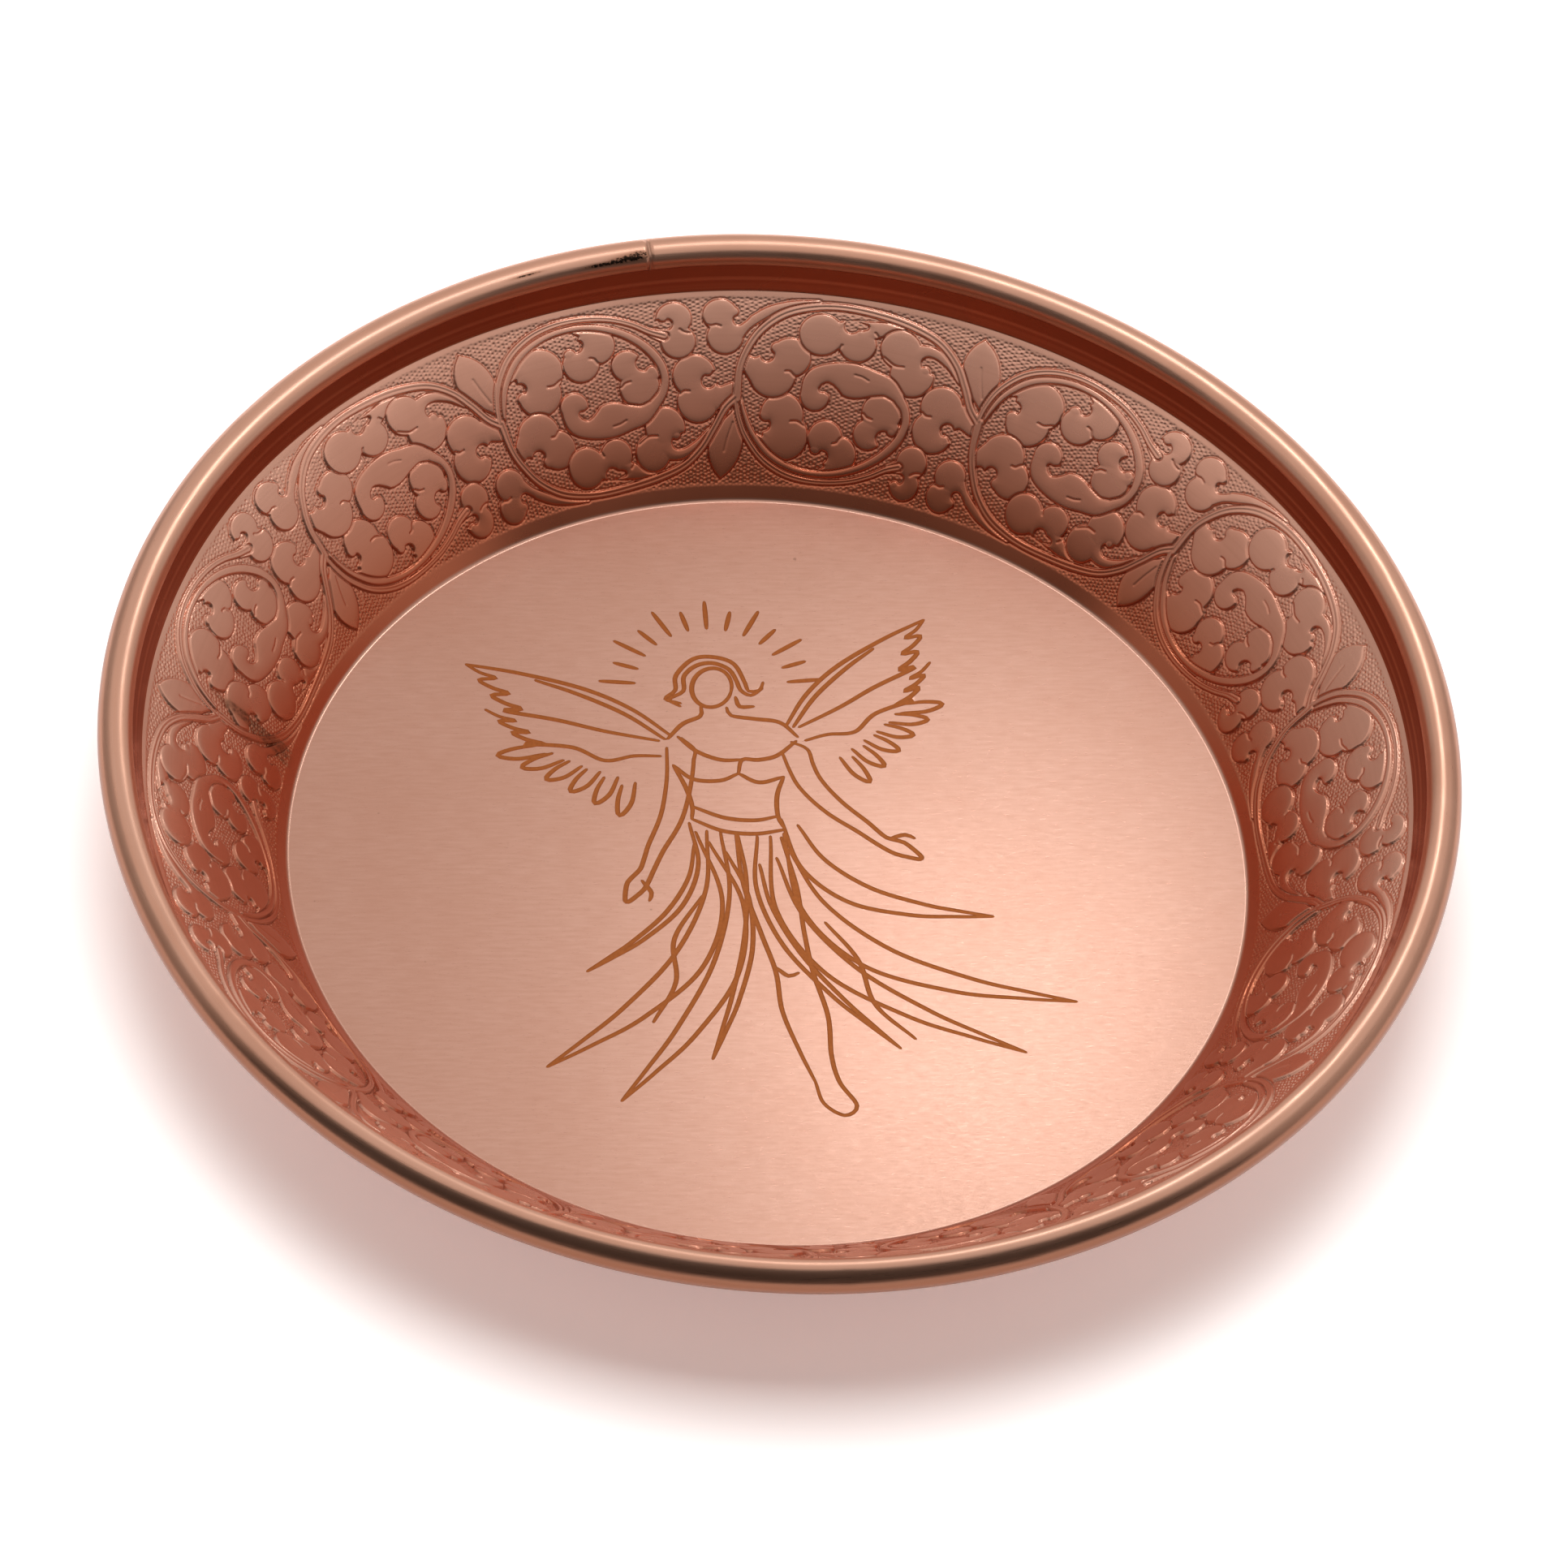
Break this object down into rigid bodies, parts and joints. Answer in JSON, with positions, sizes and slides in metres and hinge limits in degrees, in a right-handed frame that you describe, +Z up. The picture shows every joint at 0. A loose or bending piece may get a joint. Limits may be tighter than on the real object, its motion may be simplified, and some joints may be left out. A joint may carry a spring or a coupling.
{
  "type": "tray",
  "caption": "Round copper tray with a flat floor, a sloping wall, a steep collar and a rolled rim over a wire, for serving or display.",
  "frame": {"origin": "centre of the base's underside, on the surface that the tray stands on", "axes": "+Z up along the tray's axis, -Y towards the viewer when the engraved figure is upright"},
  "size_m": [0.25, 0.25, 0.038],
  "materials": {
    "copper_body": "brushed copper, darker in the embossed ground",
    "copper_rim": "polished copper, lightly scratched",
    "steel_wire": "dull drawn wire",
    "solder": "dull, darkened by heat"
  },
  "bodies": {
    "root": {"tray_body": "copper_body", "rim_wire": "steel_wire", "rim_strip": "copper_rim", "rim_seam_solder": "solder"}
  },
  "joints": []
}
